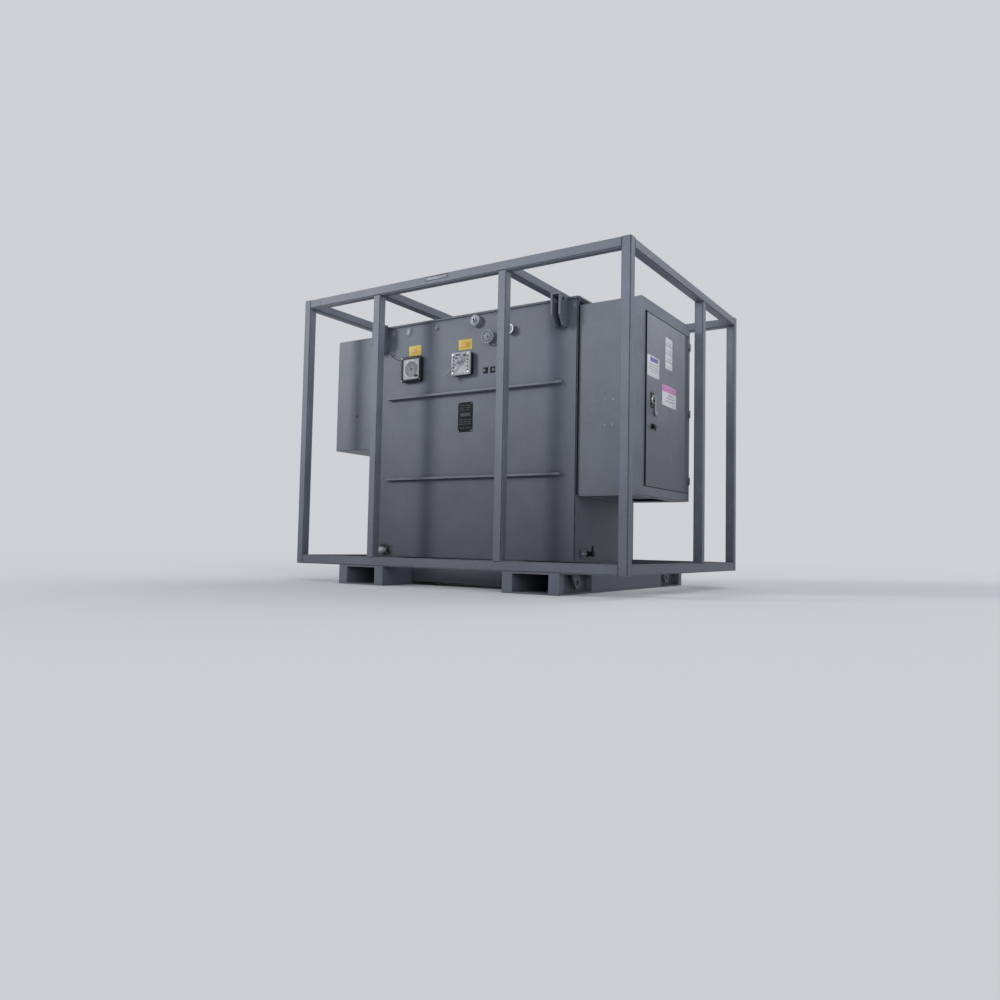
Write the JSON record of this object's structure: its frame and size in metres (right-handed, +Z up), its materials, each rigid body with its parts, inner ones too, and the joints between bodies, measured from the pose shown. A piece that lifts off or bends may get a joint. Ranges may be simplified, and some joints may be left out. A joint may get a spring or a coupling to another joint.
{
  "type": "power transformer",
  "caption": "Skid-mounted oil-filled power transformer in a square-tube protective frame, with a hinged-door terminal cabinet, gauge, tap switch, radiators and fork pockets.",
  "frame": {"origin": "on the floor under the middle of the protective frame", "axes": "+Z up; -Y is the tank front with the gauges; +X is the end with the cabinet door"},
  "size_m": [3.2, 2.44, 2.53],
  "materials": {
    "frame_paint": "satin blue-grey paint on square steel tube",
    "tank_paint": "satin blue-grey paint on welded plate",
    "cabinet_paint": "satin blue-grey paint on folded sheet",
    "black_housing": "black stove enamel",
    "pale_casting": "pale cast housing",
    "zinc_steel": "dull zinc plate"
  },
  "bodies": {
    "transformer": {"corner_post_front_left": "frame_paint", "corner_post_front_right": "frame_paint", "corner_post_back_left": "frame_paint", "corner_post_back_right": "frame_paint", "front_mid_post_left": "frame_paint", "front_mid_post_right": "frame_paint", "back_mid_post_left": "frame_paint", "back_mid_post_right": "frame_paint", "end_mid_post_left": "frame_paint", "end_mid_post_right": "frame_paint", "top_rail_front": "frame_paint", "top_rail_back": "frame_paint", "top_rail_left": "frame_paint", "top_rail_right": "frame_paint", "bottom_rail_front": "frame_paint", "bottom_rail_back": "frame_paint", "bottom_rail_left": "frame_paint", "bottom_rail_right": "frame_paint", "top_cross_tube_left": "frame_paint", "top_cross_tube_right": "frame_paint", "bottom_cross_tube_left": "frame_paint", "bottom_cross_tube_right": "frame_paint", "fork_pocket_left": "frame_paint", "fork_pocket_right": "frame_paint", "skid_beam_front": "frame_paint", "skid_beam_back": "frame_paint", "tank_shell": "tank_paint", "tank_lid": "tank_paint", "tank_rib_upper": "tank_paint", "tank_rib_lower": "tank_paint", "lifting_lug_front_left": "tank_paint", "lifting_lug_front_right": "tank_paint", "lifting_lug_back_left": "tank_paint", "lifting_lug_back_right": "tank_paint", "radiator_left": "tank_paint", "radiator_right": "tank_paint", "pressure_valve": "tank_paint", "fill_valve": "tank_paint", "cabinet_wrap": "cabinet_paint", "cabinet_floor": "cabinet_paint", "cabinet_door_frame": "cabinet_paint", "left_cabinet": "cabinet_paint", "temperature_gauge": "black_housing", "tap_switch": "pale_casting", "vacuum_gauge": "zinc_steel", "drain_valve": "zinc_steel"},
    "cabinet_door": {"cabinet_door": "cabinet_paint"},
    "door_handle": {"door_handle": "zinc_steel"}
  },
  "joints": [
    {"name": "cabinet_door_hinge", "type": "hinge", "parent": "transformer", "child": "cabinet_door", "pos_m": [1.524, 0.1695, 1.4696], "axis": [0, 0, 1], "range_deg": [0, 120]},
    {"name": "door_handle_turn", "type": "hinge", "parent": "cabinet_door", "child": "door_handle", "pos_m": [1.5215, -0.61, 1.472], "axis": [1, 0, 0], "range_deg": [0, 90]}
  ]
}
